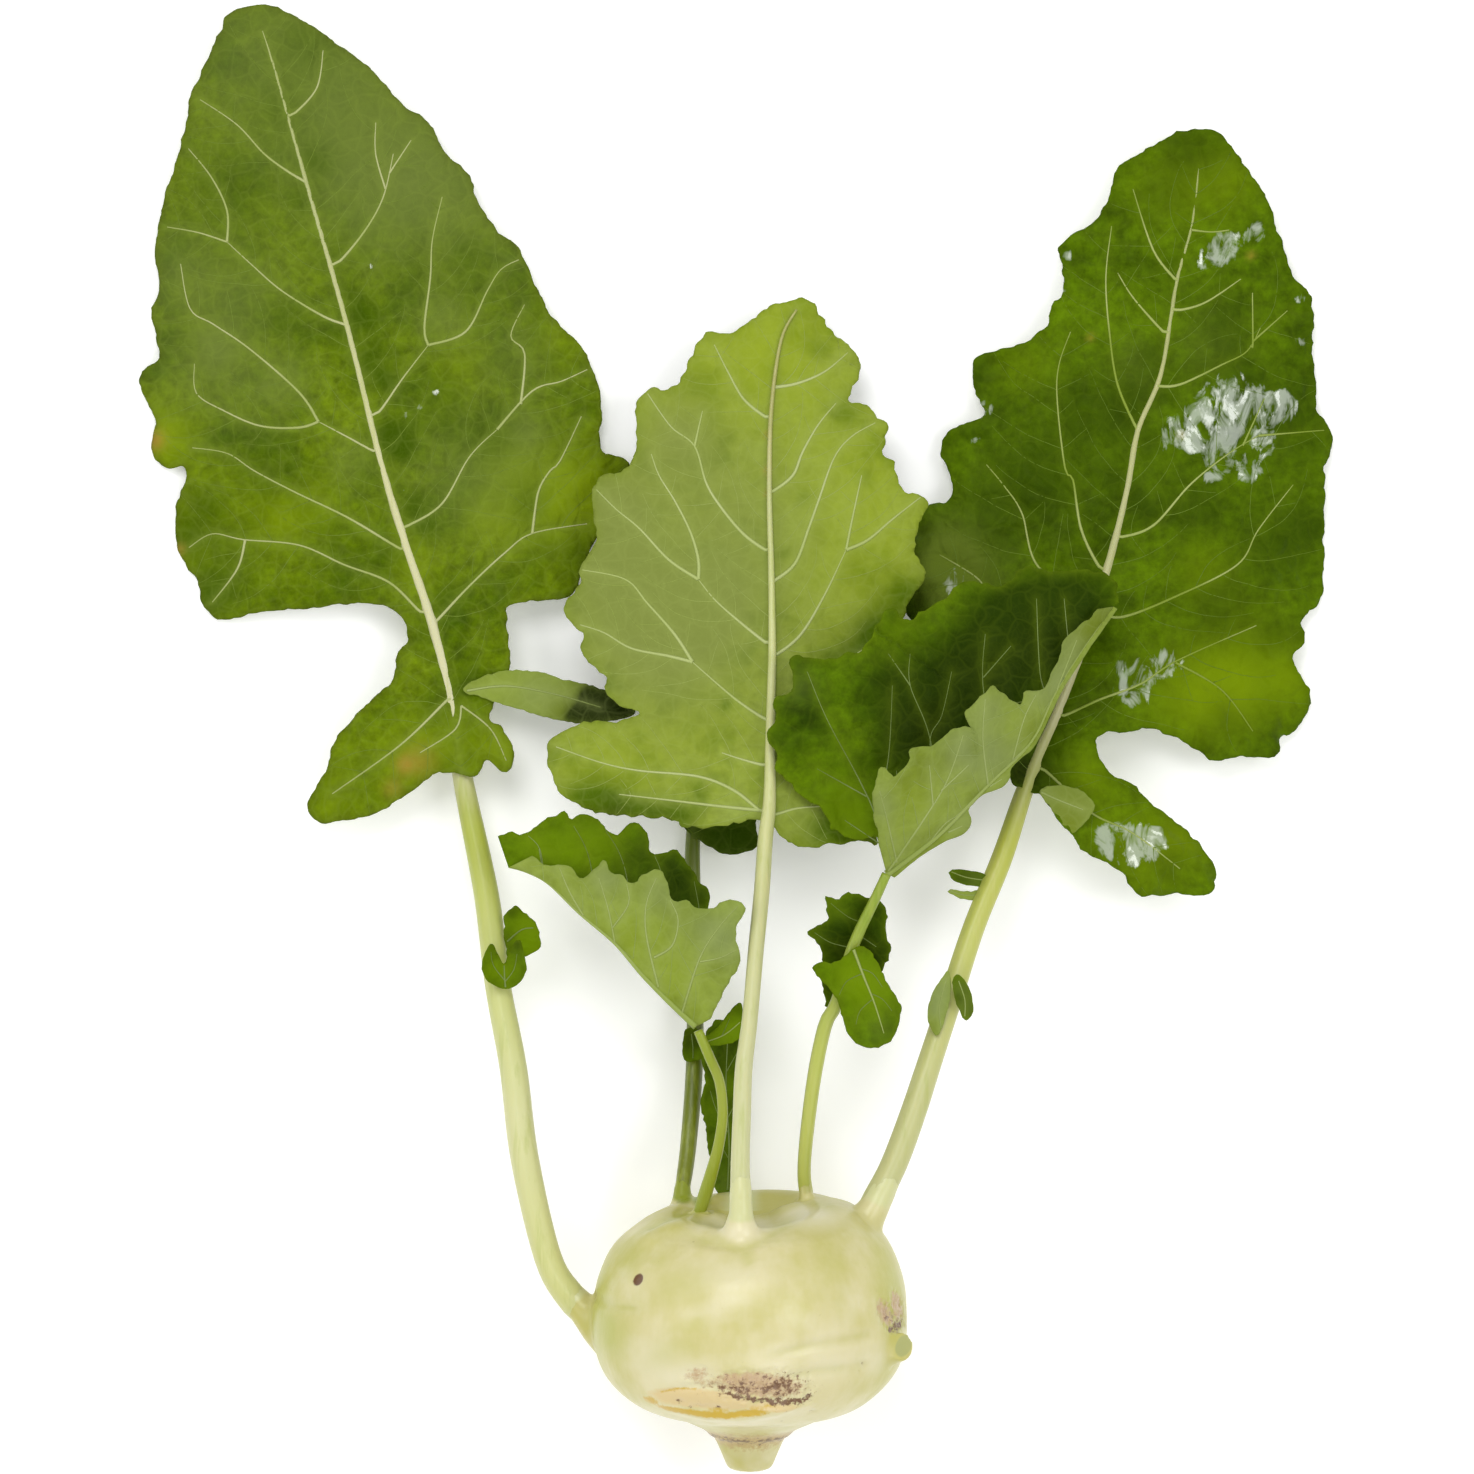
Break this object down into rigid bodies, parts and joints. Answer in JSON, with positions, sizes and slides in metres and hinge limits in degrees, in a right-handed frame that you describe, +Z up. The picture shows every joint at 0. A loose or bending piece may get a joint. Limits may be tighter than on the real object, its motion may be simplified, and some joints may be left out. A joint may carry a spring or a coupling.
{
  "type": "kohlrabi",
  "caption": "Fresh kohlrabi lying on its side: a pale green swollen bulb with its cut root, stiff leaf stalks and broad toothed leaves.",
  "frame": {"origin": "middle of the small flat on the bulb's side that it rests on", "axes": "+Y from the root end towards the leaf tips, +Z up from the surface it lies on, +X to the right seen from above with the leaves pointing away"},
  "size_m": [0.305, 0.3734, 0.0793],
  "materials": {
    "bulb_skin": "satin",
    "stalk_skin": "satin",
    "young_stalk_skin": "satin",
    "leaf_upper": "satin",
    "leaf_under": "matte",
    "leaflet": "satin"
  },
  "bodies": {
    "root": {"bulb": "bulb_skin", "left_stalk": "stalk_skin", "centre_stalk": "stalk_skin", "right_stalk": "stalk_skin", "small_right_stalk": "young_stalk_skin", "small_left_stalk": "young_stalk_skin", "rear_stalk": "young_stalk_skin", "left_blade": "leaf_upper", "centre_blade": "leaf_under", "right_blade": "leaf_upper", "rear_blade": "leaf_upper", "small_right_blade": "leaf_under", "small_left_blade": "leaf_under", "left_stalk_cup_leaflet": "leaflet", "left_stalk_rear_leaflet": "leaflet", "right_stalk_upper_leaflet": "leaflet", "right_stalk_lower_leaflet": "leaflet", "right_stalk_side_leaflet": "leaflet", "right_stalk_front_leaflet": "leaflet", "small_right_front_leaflet": "leaflet", "small_right_rear_leaflet": "leaflet", "left_blade_leaflet": "leaflet", "right_blade_leaflet": "leaflet", "small_left_leaflet": "leaflet", "rear_stalk_leaflet": "leaflet", "young_leaf": "leaflet"}
  },
  "joints": []
}
